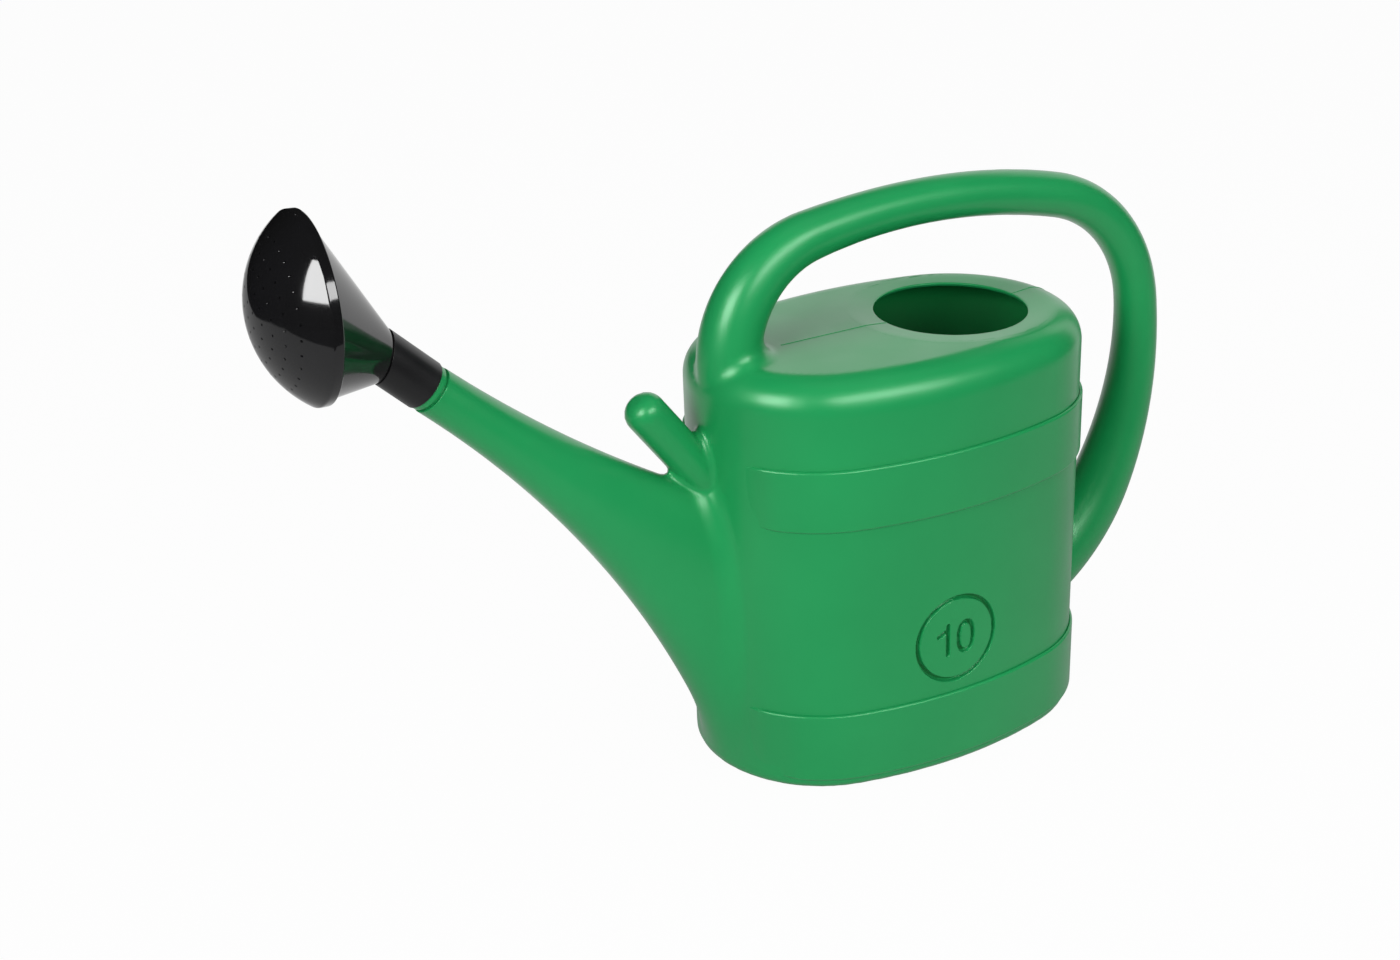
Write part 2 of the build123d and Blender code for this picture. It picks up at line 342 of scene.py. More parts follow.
# %% Can field
CELL = 3.1
WALL = 2 * CELL
FILLER_X, FILLER_RADIUS = 49.0, 46.9
HANDLE_FILLET, SPOUT_FILLET, PEG_FILLET = 10.0, 16.0, 4.0
HOLE_RADIUS_IN_SKIN, HOLE_EDGE = 60.5, 0.5
HOLE_CUT_BELOW, HOLE_CUT_ABOVE, HOLE_CUT_EDGE = WALL + 2.0, 12.0, 1.0
SPOUT_BORE, BORE_LENGTH = 8.5, 25.0


def outer_field(points):
    skin = join_with_fillet(tank_field(points), handle_field(points), HANDLE_FILLET)
    skin = join_with_fillet(skin, horn_field(points), SPOUT_FILLET)
    return join_with_fillet(skin, peg_field(points), PEG_FILLET)


def can_field(points):
    skin = outer_field(points)
    room, duct = tank_field(points), horn_field(points, WALL)
    room[0] += WALL
    hollow = -np.where(room[0] < duct[0], room, duct)
    shell = np.where(hollow[0] > skin[0], hollow, skin)
    hole = round_bar(points, (FILLER_X, 0.0, 0.0), UPWARD, HOLE_RADIUS_IN_SKIN)
    hole[0] = (hole[0] + points[2] - TANK_HEIGHT) / 2**0.5
    hole[1:] = hole[1:] / 2**0.5 + 0.5**0.5 * UPWARD[:, None]
    hole = cut_with_round_edge(hole, level(points, TANK_HEIGHT - HOLE_CUT_BELOW, -1), HOLE_CUT_EDGE)
    hole = cut_with_round_edge(hole, level(points, TANK_HEIGHT + HOLE_CUT_ABOVE, 1), HOLE_CUT_EDGE)
    shell = cut_with_round_edge(shell, -hole, HOLE_EDGE)
    bore = round_bar(points, horn_end, spout_axis, SPOUT_BORE)
    back = -(spout_axis @ (points - horn_end[:, None]))
    far = np.vstack([back - BORE_LENGTH, 0 * points - spout_axis[:, None]])
    bore = np.where(bore[0] > far[0], bore, far)
    return np.where(-bore[0] > shell[0], -bore, shell)


# %% [markdown]
# ## From field to mesh
# The field is read on a grid, and each cell that the skin crosses gets one vertex. Neighbouring vertices make clean
# quads. Each vertex then slides along the field's direction onto the skin itself, and takes its normal from
# the field, so that the reflections are as smooth as the form, however coarse the grid is.

# %% Skin a field
CORNERS = [(i, j, k) for i in (0, 1) for j in (0, 1) for k in (0, 1)]
CELL_EDGES = [(a, b) for a in CORNERS for b in CORNERS if sorted(np.subtract(b, a)) == [0, 0, 1]]
SLIDES, NORMAL_STEP = 6, 0.05


def read_grid(field, xs, ys, zs):
    """The field's distances on the grid. The can is even in Y, so only one half is worked out."""
    half = len(ys) // 2 + 1
    values = np.empty((len(xs), len(ys), len(zs)))
    for k in range(len(zs)):
        x, y = np.meshgrid(xs, ys[:half], indexing="ij")
        points = np.vstack([x.ravel(), y.ravel(), np.full(x.size, zs[k])])
        values[:, :half, k] = field(points)[0].reshape(x.shape)
    values[:, half:, :] = values[:, half - 2 :: -1, :]
    return values


def skin_field(field, low, high):
    """Vertices, quads and normals of a field's skin, in millimetres."""
    xs, zs = (np.arange(low[i], high[i] + CELL, CELL) for i in (0, 2))
    ys = np.arange(-round(high[1] / CELL), round(high[1] / CELL) + 1) * CELL
    values = read_grid(field, xs, ys, zs)
    inside = values < 0
    count = np.zeros(np.array(values.shape) - 1, int)
    for i, j, k in CORNERS:
        count += inside[i : len(xs) - 1 + i, j : len(ys) - 1 + j, k : len(zs) - 1 + k]
    cells = np.argwhere((count > 0) & (count < 8))
    number = np.full(count.shape, -1)
    number[tuple(cells.T)] = np.arange(len(cells))
    total, crossings = np.zeros((len(cells), 3)), np.zeros((len(cells), 1))
    for a, b in CELL_EDGES:
        near, far = cells + a, cells + b
        d_near, d_far = values[tuple(near.T)], values[tuple(far.T)]
        crossed = ((d_near < 0) != (d_far < 0))[:, None]
        share = (d_near / np.where(d_near == d_far, 1, d_near - d_far))[:, None]
        start = np.column_stack([xs[near[:, 0]], ys[near[:, 1]], zs[near[:, 2]]])
        end = np.column_stack([xs[far[:, 0]], ys[far[:, 1]], zs[far[:, 2]]])
        total += np.where(crossed, start + share * (end - start), 0)
        crossings += crossed
    points = (total / crossings).T
    for _ in range(SLIDES):
        here = field(points)
        points = points - np.clip(here[0], -CELL / 2, CELL / 2) * here[1:]
    steps = NORMAL_STEP * np.eye(3)[:, :, None]
    slope = np.array([field(points + step)[0] - field(points - step)[0] for step in steps])
    normals = slope / length_of(slope)
    quads = []
    for axis in range(3):
        one, two = (axis + 1) % 3, (axis + 2) % 3
        here = np.moveaxis(inside, axis, 0)
        edges = np.argwhere(here[:-1] != here[1:])
        lattice = np.empty_like(edges)
        lattice[:, axis] = edges[:, 0]
        rest = [i for i in range(3) if i != axis]
        lattice[:, rest[0]], lattice[:, rest[1]] = edges[:, 1], edges[:, 2]
        keep = (lattice[:, rest] > 0).all(1) & (lattice[:, rest] < np.array(count.shape)[rest]).all(1)
        lattice = lattice[keep]
        ring = []
        for back_one, back_two in ((1, 1), (0, 1), (0, 0), (1, 0)):
            cell = lattice.copy()
            cell[:, one] -= back_one
            cell[:, two] -= back_two
            ring.append(number[tuple(cell.T)])
        quad = np.column_stack(ring)
        outward = inside[tuple(lattice.T)]
        quads.append(np.where(outward[:, None], quad, quad[:, ::-1]))
    return points.T, np.vstack(quads), normals.T


# %% [markdown]
# ## Making pieces
# Every mesh goes through one helper: it scales millimetres to metres, shades the faces smooth and hangs the piece on
# the body that carries it.

# %% Piece helper
def put_in_scene(name, data):
    thing = bpy.data.objects.new(name, data)
    bpy.context.scene.collection.objects.link(thing)
    return thing


def make_piece(name, points, faces, body):
    mesh = bpy.data.meshes.new(name)
    mesh.from_pydata((np.asarray(points) * METRES).tolist(), [], [list(map(int, face)) for face in faces])
    mesh.validate()
    mesh.shade_smooth()
    piece = put_in_scene(name, mesh)
    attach(piece, body)
    return piece


def ease_edges(piece, angle=38):
    """Edges sharper than the angle stay crisp, and the large faces set the shading."""
    piece.data.set_sharp_from_angle(angle=radians(angle))
    weigh = piece.modifiers.new("large_faces_first", "WEIGHTED_NORMAL")
    weigh.keep_sharp = True
    return piece


# %% [markdown]
# ## Engraved mark
# Low on the side a ring and the number of litres are sunk into the wall. They stand out in the mould, and their edges
# are soft. The grid is too coarse for them, so the quads under a stroke are split into small ones, and their points go
# in by the depth of the groove there.

# %% Strokes of the mark
MARK_X, MARK_Z, MARK_RADIUS = -5.2, 89.3, 27.9
DIGIT_HEIGHT, NOUGHT_WIDTH = 19.6, 10.4
GROOVE_DEPTH, GROOVE_HALF, GROOVE_WALL = 3.2, 1.35, 0.7
DOTS_ROUND, DOTS_ALONG = 600, 80
ONE_X, NOUGHT_X, SQUARISH = MARK_X - 6.6, MARK_X + 6.4, 0.8
HOOK_START, HOOK_END = (6.6, 6.0), (2.4, 3.8)
MARK_MARGIN, WALL_MARGIN, DEPTH_STEP = 9.0, 0.2, 0.04
SPLITS = 8
side_middle = -oval_arcs(TANK_LENGTH, TANK_WIDTH, SIDE_RADIUS)[0]


def mark_dots():
    """Points close together along every stroke: the ring, the one and the nought."""
    turn = full_turn(DOTS_ROUND)
    ring = np.column_stack([MARK_X + MARK_RADIUS * np.cos(turn), MARK_Z + MARK_RADIUS * np.sin(turn)])
    across, up = (np.sign(way) * np.abs(way) ** SQUARISH for way in (np.cos(turn[::3]), np.sin(turn[::3])))
    nought = np.column_stack([NOUGHT_X + NOUGHT_WIDTH / 2 * across, MARK_Z + DIGIT_HEIGHT / 2 * up])
    top = np.array([ONE_X, MARK_Z + DIGIT_HEIGHT / 2])
    stem = np.linspace((ONE_X, MARK_Z - DIGIT_HEIGHT / 2), top, DOTS_ALONG)
    hook = np.linspace(top - HOOK_START, top - HOOK_END, DOTS_ALONG)
    return np.vstack([ring, nought, stem, hook])


def groove_depth(u, z):
    """How deep the mark is at places along the wall and up it."""
    gap = np.full(len(u), 1e9)
    for dot in mark_dots():
        gap = np.minimum(gap, np.hypot(u - dot[0], z - dot[1]))
    share = np.clip((GROOVE_HALF + GROOVE_WALL / 2 - gap) / GROOVE_WALL, 0, 1)
    return GROOVE_DEPTH * eased(share), gap


def on_wall(points):
    """Where points of the near side lie along the wall, and how far out of it."""
    reach = np.hypot(points[:, 0], points[:, 1] - side_middle)
    return SIDE_RADIUS * np.arctan2(points[:, 0], side_middle - points[:, 1]), reach - SIDE_RADIUS


# %% Split and sink
def split_quads(points, quads, chosen):
    """The chosen quads as fine grids. Their neighbours take the new points of a shared edge into their outline."""
    new, edges, faces = [points], {}, []
    count = len(points)

    def edge(a, b):
        nonlocal count
        key = (min(a, b), max(a, b))
        if key not in edges:
            share = np.arange(1, SPLITS)[:, None] / SPLITS
            new.append(points[key[0]] + share * (points[key[1]] - points[key[0]]))
            edges[key] = list(range(count, count + SPLITS - 1))
            count += SPLITS - 1
        return edges[key] if a < b else edges[key][::-1]

    share = np.arange(1, SPLITS) / SPLITS
    for a, b, c, d in quads[chosen]:
        low, high = [a, *edge(a, b), b], [d, *edge(d, c), c]
        left, right = edge(a, d), edge(b, c)
        rows = [low]
        for i, v in enumerate(share):
            start = points[a] + v * (points[d] - points[a])
            end = points[b] + v * (points[c] - points[b])
            new.append(start + share[:, None] * (end - start))
            rows.append([left[i], *range(count, count + SPLITS - 1), right[i]])
            count += SPLITS - 1
        rows.append(high)
        for one, two in zip(rows, rows[1:]):
            faces += [(one[j], one[j + 1], two[j + 1], two[j]) for j in range(SPLITS)]
    for quad in quads[~chosen].tolist():
        outline = []
        for a, b in zip(quad, quad[1:] + quad[:1]):
            outline.append(a)
            if (min(a, b), max(a, b)) in edges:
                outline += edge(a, b)
        faces.append(tuple(outline))
    return np.vstack(new), faces


def engrave(points, quads, normals):
    """The skin with the mark sunk into its near side."""
    u, out = on_wall(points)
    near = np.hypot(u - MARK_X, points[:, 2] - MARK_Z) < MARK_RADIUS + MARK_MARGIN
    near &= (points[:, 1] < 0) & (np.abs(out) < WALL_MARGIN)
    whole = near[quads].all(1)
    middle = points[quads].mean(1)
    gap = groove_depth(on_wall(middle[whole])[0], middle[whole, 2])[1]
    chosen = whole.copy()
    chosen[whole] = gap < GROOVE_HALF + GROOVE_WALL / 2 + 0.75 * CELL
    old = len(points)
    touched = np.unique(quads[chosen])
    points, faces = split_quads(points, quads, chosen)
    touched = np.concatenate([touched, np.arange(old, len(points))])
    u, z = on_wall(points[touched])[0], points[touched, 2]
    step = DEPTH_STEP
    depth = groove_depth(u, z)[0]
    along = (groove_depth(u + step, z)[0] - groove_depth(u - step, z)[0]) / (2 * step)
    upward = (groove_depth(u, z + step)[0] - groove_depth(u, z - step)[0]) / (2 * step)
    way_out = np.column_stack([np.sin(u / SIDE_RADIUS), -np.cos(u / SIDE_RADIUS), 0 * u])
    way_along = np.column_stack([np.cos(u / SIDE_RADIUS), np.sin(u / SIDE_RADIUS), 0 * u])
    points[touched] = (SIDE_RADIUS - depth)[:, None] * way_out + np.column_stack([0 * u, 0 * u + side_middle, z])
    lean = way_out + along[:, None] * way_along + np.outer(upward, UPWARD)
    full = np.vstack([normals, np.zeros((len(points) - old, 3))])
    full[touched] = lean / length_of(lean.T)[:, None]
    return points, faces, full, int(chosen.sum())


# %% [markdown]
# ## Can body
# The skin of the whole can, outside and inside, is made in one go, as the air in the mould does it. Faces that lie
# deeper than half the wall belong to the inside, which gets a finish of its own: duller, and darker as painted shade.

# %% Can body
GRID_LOW, GRID_HIGH = (-306.0, -95.0, -6.0), (222.0, 95.0, 356.0)
points, quads, normals = skin_field(can_field, GRID_LOW, GRID_HIGH)
error = float(np.abs(can_field(points.T)[0]).max())
points, faces, normals, split = engrave(points, quads, normals)
can_skin = make_piece("can_skin", points, faces, "can")
can_skin.data.normals_split_custom_set_from_vertices(normals.tolist())
# faces deep inside take the second material, whose darker colour is painted shade
deep = outer_field(points.T)[0] < -WALL / 2
for polygon in can_skin.data.polygons:
    polygon.material_index = int(deep[list(polygon.vertices)].all())
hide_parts("can_body")
triangles = sum(len(face) - 2 for face in faces)
print("can skin:", len(points), "vertices,", triangles, "triangles,", split, "quads split")
print("largest distance from the field", round(error, 4), "mm")

# %% [markdown]
# ## Bands round the tank
# Two bands stand proud of the tank: one above the base and a belt below the shoulder. They run round the sides and the
# back, and sink into the wall near the spout. On the real can they are steps in the same wall. Here each is a closed
# strip whose rows follow the step's small rounding and the fine crease behind it, which the grid is too coarse for.

# %% Bands
BAND_PROUD, BAND_EDGE, BAND_NOTCH = 2.0, 1.6, 0.8
BAND_DEPTH, BAND_SEAT, BAND_SUNK = 2.4, 0.04, 0.3
BAND_FADE = 12.0
BAND_POINTS, BAND_STEPS = 480, 7


def oval_points(count):
    """Points round the tank's oval and the way out at each, evenly spread along its arcs."""
    side_y, end_x, end_radius = oval_arcs(TANK_LENGTH, TANK_WIDTH, SIDE_RADIUS)
    meet = np.arctan2(end_x, -side_y)
    side_length, end_length = 2 * meet * SIDE_RADIUS, (pi - 2 * meet) * end_radius
    points, outs = [], []
    for s in np.arange(count) / count * 2 * (side_length + end_length):
        flip = 1 if s < side_length + end_length else -1
        s = s if flip == 1 else s - side_length - end_length
        if s < side_length:
            angle = pi / 2 + meet - s / SIDE_RADIUS
            centre, radius = (0.0, side_y), SIDE_RADIUS
        else:
            angle = pi / 2 - meet - (s - side_length) / end_radius
            centre, radius = (end_x, 0.0), end_radius
        out = np.array([cos(angle), sin(angle)])
        points.append(flip * (np.array(centre) + radius * out))
        outs.append(flip * out)
    return np.array(points), np.array(outs)


def ledge(height, way):
    """One step of a band as rows of how far out and how high, from the wall to the band's face. Way 1 is its top."""
    nose = []
    for a in np.linspace(0, pi / 2, BAND_STEPS):
        nose.append((BAND_PROUD - BAND_EDGE + BAND_EDGE * sin(a), height - way * (BAND_EDGE - BAND_EDGE * cos(a))))
    notch = height - way * BAND_NOTCH
    return [(-BAND_DEPTH, notch), (-BAND_SEAT, notch)] + nose


def loop_strip(rows, around):
    """Faces between rows of points, closed round the loop and from the last row back to the first."""
    faces = []
    for i in range(rows):
        for j in range(around):
            here, there, after = i * around, (i + 1) % rows * around, (j + 1) % around
            faces.append((here + j, here + after, there + after, there + j))
    return faces


def make_band(name, bottom, top, bottom_start, top_start):
    """A band whose two ledges start at an angle from straight ahead, in degrees, and come out within the fade."""
    plan, outs = oval_points(BAND_POINTS)
    from_front = np.degrees(np.arctan2(np.abs(outs[:, 1]), -outs[:, 0]))
    lower, upper = ledge(bottom, -1), ledge(top, 1)[::-1]
    points = []
    for i, (out, z) in enumerate(lower + upper):
        start = bottom_start if i < len(lower) else top_start
        rise = eased(np.clip((from_front - start) / BAND_FADE, 0, 1))
        sunk = (1 - rise) * (BAND_PROUD + BAND_SUNK)
        points.append(np.column_stack([plan + (out - sunk)[:, None] * outs, np.full(len(plan), z)]))
    faces = [face[::-1] for face in loop_strip(len(points), BAND_POINTS)]
    return ease_edges(make_piece(name, np.vstack(points), faces, "can"))


base_band = make_band("base_band", bottom=7.5, top=53.0, bottom_start=38.0, top_start=22.0)
belt_band = make_band("belt_band", bottom=176.0, top=215.0, bottom_start=30.0, top_start=24.0)
print("bands:", [len(band.data.polygons) for band in (base_band, belt_band)], "faces")

# %% [markdown]
# ## Spout ring
# A groove sets off a plain ring at the spout's mouth, and from it a thinner spigot goes into the rose. All of this is
# turned round the spout's axis, so a lathe helper makes it from half a section.

# %% Turned pieces
def turned(profile, origin, axis, around):
    """A closed profile of radius and place along the axis, turned into a ring-shaped solid."""
    angles = full_turn(around)
    ring = np.outer(np.cos(angles), np.cross(SIDEWAYS, axis)) + np.outer(np.sin(angles), SIDEWAYS)
    points = [origin + along * axis + radius * ring for radius, along in profile]
    return np.vstack(points), loop_strip(len(profile), around)


def arc_points(middle, radius, first, last, steps):
    """Points of an arc in a profile, between two angles. At 0 it is farthest out, at a right angle farthest along."""
    return [(middle[0] + radius * cos(a), middle[1] + radius * sin(a)) for a in np.linspace(first, last, steps)]


def round_corner(before, corner, after, radius, steps=5):
    """Points of a small arc that replaces a corner of a profile."""
    before, corner, after = (np.array(p, float) for p in (before, corner, after))
    one, two = before - corner, after - corner
    one, two = one / np.hypot(*one), two / np.hypot(*two)
    half = np.arccos(np.clip(one @ two, -1, 1)) / 2
    start, end = corner + one * radius / tan(half), corner + two * radius / tan(half)
    middle = corner + (one + two) / np.hypot(*(one + two)) * radius / sin(half)
    first = np.arctan2(*(start - middle)[::-1])
    sweep = (np.arctan2(*(end - middle)[::-1]) - first + pi) % (2 * pi) - pi
    return arc_points(middle, radius, first, first + sweep, steps)


def softened(profile, radii):
    """The profile with the corners that have a radius rounded."""
    rounded = []
    for i, corner in enumerate(profile):
        if radii[i]:
            rounded += round_corner(profile[i - 1], corner, profile[(i + 1) % len(profile)], radii[i])
        else:
            rounded.append(corner)
    return rounded


# %% Spout ring and spigot
GROOVE_WIDTH, GROOVE_RADIUS = 1.8, MOUTH_RADIUS - 1.8
RING_RADIUS, RING_AROUND = MOUTH_RADIUS - 0.3, 96
SPIGOT_RADIUS, SPIGOT_LENGTH, SPIGOT_BORE = 12.5, 24.2, 10.5
SPIGOT_SUNK = 8.0
spigot_profile = [
    (SPIGOT_BORE, -RING_LENGTH - SPIGOT_SUNK),
    (GROOVE_RADIUS, -RING_LENGTH - SPIGOT_SUNK),
    (GROOVE_RADIUS, -RING_LENGTH + GROOVE_WIDTH),
    (RING_RADIUS, -RING_LENGTH + GROOVE_WIDTH),
    (RING_RADIUS, 0.0),
    (SPIGOT_RADIUS, 0.0),
    (SPIGOT_RADIUS, SPIGOT_LENGTH),
    (SPIGOT_BORE, SPIGOT_LENGTH),
]
spigot_rounding = [0, 0, 0, 0.4, 0.4, 0, 0.8, 0.4]
points, faces = turned(softened(spigot_profile, spigot_rounding), mouth, spout_axis, RING_AROUND)
spout_ring = ease_edges(make_piece("spout_ring", points, faces, "can"))
print("spout ring:", len(faces), "faces")

# %% [markdown]
# ## Spout end
# On the real can the spout's skin ends in a small rounded edge at the groove. The grid would leave such an edge jagged,
# so the last millimetres are a sleeve of their own: ellipses of the spout, a hair proud of the skin, then the edge, and
# then a wall down into the groove.

# %% Spout end
END_SHARE, END_FADE, END_SUNK = 0.07, 0.004, 1.2
END_PROUD, END_EDGE, END_INTO_GROOVE = 0.03, 0.4, 0.5
END_ROWS, END_STEPS = 14, 5


def horn_loop(share, proud):
    """The spout's ellipse at a share of its length, a little proud of the skin."""
    (top_x, top_z), (bottom_x, bottom_z) = horn_top(share), horn_bottom(share)
    middle = np.array([top_x + bottom_x, 0.0, top_z + bottom_z]) / 2
    up_way = np.array([top_x - bottom_x, 0.0, top_z - bottom_z]) / 2
    tall = np.linalg.norm(up_way)
    turn = full_turn(RING_AROUND)
    ring = np.outer(np.cos(turn) * (tall + proud) / tall, up_way)
    return middle + ring + np.outer(np.sin(turn) * (horn_width(share) + proud), SIDEWAYS)


end_rows = [horn_loop(END_SHARE, -END_SUNK)]
end_rows += [horn_loop(share, END_PROUD) for share in np.linspace(END_SHARE - END_FADE, 0.0, END_ROWS)[:-1]]
for turn in np.linspace(0, pi / 2, END_STEPS):
    edge_loop = horn_loop(0.0, END_PROUD - END_EDGE * (1 - cos(turn)))
    end_rows.append(edge_loop - END_EDGE * (1 - sin(turn)) * spout_axis)
end_rows.append(horn_loop(0.0, GROOVE_RADIUS - MOUTH_RADIUS - END_INTO_GROOVE))
end_faces = loop_strip(len(end_rows), RING_AROUND)
spout_end = ease_edges(make_piece("spout_end", np.vstack(end_rows), end_faces, "can"))
print("spout end:", len(spout_end.data.polygons), "faces")

# %% [markdown]
# ## Filler lip
# Round the filler hole the top slopes down a little and then rolls in, and the thin wall is cut off there, so the edge
# is crisp and lies lower than the flat top. A turned ring makes it: flush in the top, with its underside drawn back. It
# is then made a little oval, and lowered where it would stand out of the tank's shoulder.

# %% Filler lip
LIP_OUTSIDE, LIP_SLOPE_START, LIP_ROLL_START = 64.5, 62.0, 48.3
LIP_SLOPE, LIP_ROLL_RADIUS = 5.0, 2.0
LIP_ROUND, LIP_FLUSH, LIP_THICK = 0.6, 0.02, 1.5
LIP_SIDE, LIP_UNDERCUT = 1.0, 0.8
LIP_OVAL, LIP_AROUND = 1.05, 192
SLOPE_PLACES, ROLL_STEPS = [LIP_SLOPE_START, 58.0, 54.0], 8


def lip_drop(radius):
    """How far the top has gone down at a distance from the hole's middle."""
    slope = tan(radians(LIP_SLOPE)) * np.clip(LIP_SLOPE_START - radius, 0, None)
    rolled = np.clip(LIP_ROLL_START - radius, 0, None)
    return slope + LIP_ROLL_RADIUS - (LIP_ROLL_RADIUS**2 - rolled**2) ** 0.5


roll_places = np.concatenate([SLOPE_PLACES, np.linspace(LIP_ROLL_START, FILLER_RADIUS, ROLL_STEPS)])
lip_profile = [(LIP_OUTSIDE, -LIP_SIDE), (LIP_OUTSIDE, LIP_FLUSH)]
lip_profile += [(radius, LIP_FLUSH - lip_drop(radius)) for radius in roll_places]
lip_profile += [(radius + LIP_UNDERCUT, -LIP_THICK - lip_drop(radius)) for radius in roll_places[:1:-1]]
lip_rounding = [LIP_ROUND if radius == FILLER_RADIUS else 0 for radius, _ in lip_profile]
lip_top = np.array([FILLER_X, 0.0, TANK_HEIGHT])
points, faces = turned(softened(lip_profile, lip_rounding), lip_top, UPWARD, LIP_AROUND)
points[:, 1] *= LIP_OVAL
points[:, 2] -= np.maximum(tank_field(points.T)[0] - LIP_FLUSH, 0)
filler_lip = ease_edges(make_piece("filler_lip", points, faces, "can"), 50)
print("filler lip:", len(faces), "faces")

# %% [markdown]
# ## Parting line
# Along the top runs a thin line where the two halves of the mould met. It is a low ridge: a rounded section drawn along
# a path on the skin and half sunk in it, with a round tip at each end.

# %% Ridges
RIDGE_SOFT, RIDGE_TIP = 0.7, np.array([0.9, 0.72, 0.45, 0.08])


def ridge_section(width, height, sunk):
    """A ridge's section as rows of how far across and how high: steep sides and a rounded top."""
    soft = min(width / 2, height) * RIDGE_SOFT
    right = arc_points((width / 2 - soft, height - soft), soft, 0, pi / 2, 5)
    return [(width / 2, -sunk)] + right + [(-x, z) for x, z in right[::-1]] + [(-width / 2, -sunk)]


def ridge(path, section, onto):
    """A ridge along a path of two-part places. onto(u, v, height) gives the places on the skin in space."""
    path = np.array(path, float)
    along = np.gradient(path, axis=0)
    way = along / np.hypot(*along.T)[:, None]
    reach = max(x for x, _ in section) * np.sqrt(1 - RIDGE_TIP**2)
    path = np.vstack([path[0] - np.outer(reach[::-1], way[0]), path, path[-1] + np.outer(reach, way[-1])])
    scale = np.concatenate([RIDGE_TIP[::-1], np.ones(len(way)), RIDGE_TIP])
    way = np.vstack([way[[0] * len(reach)], way, way[[-1] * len(reach)]])
    side = np.column_stack([way[:, 1], -way[:, 0]])
    rows = []
    for across, height in section:
        u, v = (path + (across * scale)[:, None] * side).T
        rows.append(onto(u, v, height * np.where(height > 0, scale**0.5, 1)))
    count, around = len(rows), len(path)
    faces = [face for i, face in enumerate(loop_strip(count, around)) if i % around != around - 1]
    first = tuple(i * around for i in range(count))
    faces += [first, tuple(i + around - 1 for i in first)[::-1]]
    return np.vstack(rows), faces


def merged(parts):
    """Several meshes as one."""
    points, faces, first = [], [], 0
    for part_points, part_faces in parts:
        points.append(part_points)
        faces += [tuple(first + i for i in face) for face in part_faces]
        first += len(part_points)
    return np.vstack(points), faces


# %% Parting line
BACK = TANK_LENGTH / 2
SEAM_WIDTH, SEAM_HEIGHT, SEAM_SUNK = 0.8, 0.28, 0.5
SEAM_START, SEAM_END, SEAM_GAP = -74.0, BACK + 115.0, 0.6


def over_the_top(u, y, height):
    """A place in the middle plane: along the flat top, round the shoulder at the back and down the back wall."""
    flat_end = BACK - SHOULDER_RADIUS
    bend = np.clip((u - flat_end) / SHOULDER_RADIUS, 0, pi / 2)
    down = np.maximum(u - flat_end - SHOULDER_RADIUS * pi / 2, 0)
    reach = SHOULDER_RADIUS + height
    x = np.minimum(u, flat_end) + reach * np.sin(bend)
    dip = lip_drop(np.maximum(np.abs(x - FILLER_X), FILLER_RADIUS))
    z = TANK_HEIGHT - SHOULDER_RADIUS + reach * np.cos(bend) - down - dip
    return np.column_stack([x, y, z])


seam_section = ridge_section(SEAM_WIDTH, SEAM_HEIGHT, SEAM_SUNK)
seam_paths = [
    np.linspace((SEAM_START, 0.0), (FILLER_X - FILLER_RADIUS - SEAM_GAP, 0.0), 40),
    np.linspace((FILLER_X + FILLER_RADIUS + SEAM_GAP, 0.0), (SEAM_END, 0.0), 120),
]
points, faces = merged([ridge(path, seam_section, over_the_top) for path in seam_paths])
parting_line = ease_edges(make_piece("parting_line", points, faces, "can"), 60)
print("parting line:", len(faces), "faces")

# %% [markdown]
# ## Rose
# The rose is two black mouldings. The funnel has a straight socket, which is pushed on the spigot, and a cone that
# leaves it at a mitre. The cone is ruled from the mitre's ellipse to the round rim, so its rings are blends of the two.

# %% Rose funnel
MITRE_LIFT, MITRE_ALONG = 23.2, 31.0
RIM_LIFT, RIM_ALONG = 2.4, 80.5
ROSE_WALL, AROUND = 1.6, 128
SOCKET_RADIUS, SOCKET_BORE, SOCKET_GAP = 14.5, 12.6, 0.3
SOCKET_EDGE, SOCKET_SOFT, BORE_EDGE = 0.5, 0.15, 0.3
MITRE_EDGE, MITRE_STEP, BORE_STEP = 0.3, 0.2, 0.4
CONE_STEP, CONE_RIM, CONE_ROWS = 0.7, 49.0, 15
FLANGE_RADIUS, FLANGE_INSIDE, FLANGE_THICK, FLANGE_EDGE = 50.0, 47.4, 2.5, 0.3
mitre_turn = radians(SPOUT_LIFT - MITRE_LIFT)
mitre_middle, mitre_axis = mouth + MITRE_ALONG * spout_axis, forward(MITRE_LIFT)
rim_middle, rim_axis = mouth + RIM_ALONG * spout_axis, forward(RIM_LIFT)


def loop_at(middle, axis, tall, wide):
    """An ellipse round an axis in the XZ plane."""
    turn = full_turn(AROUND)
    return middle + tall * np.outer(np.cos(turn), np.cross(SIDEWAYS, axis)) + wide * np.outer(np.sin(turn), SIDEWAYS)


def socket_loop(radius, along=None):
    """A loop round the spout's axis, square to it at a place along it, or on the mitre."""
    loop = loop_at(mouth, spout_axis, radius, radius)
    if along is not None:
        return loop + along * spout_axis
    reach = ((mitre_middle - loop) @ mitre_axis) / (spout_axis @ mitre_axis)
    return loop + np.outer(reach, spout_axis)


def cone_loop(share, inset):
    """A ring of the cone at a share of its length, drawn in by an inset."""
    small, large = SOCKET_RADIUS - CONE_STEP - inset, CONE_RIM - inset
    start = loop_at(mitre_middle, mitre_axis, small / cos(mitre_turn), small)
    end = loop_at(rim_middle, rim_axis, large, large)
    return start + share * (end - start)


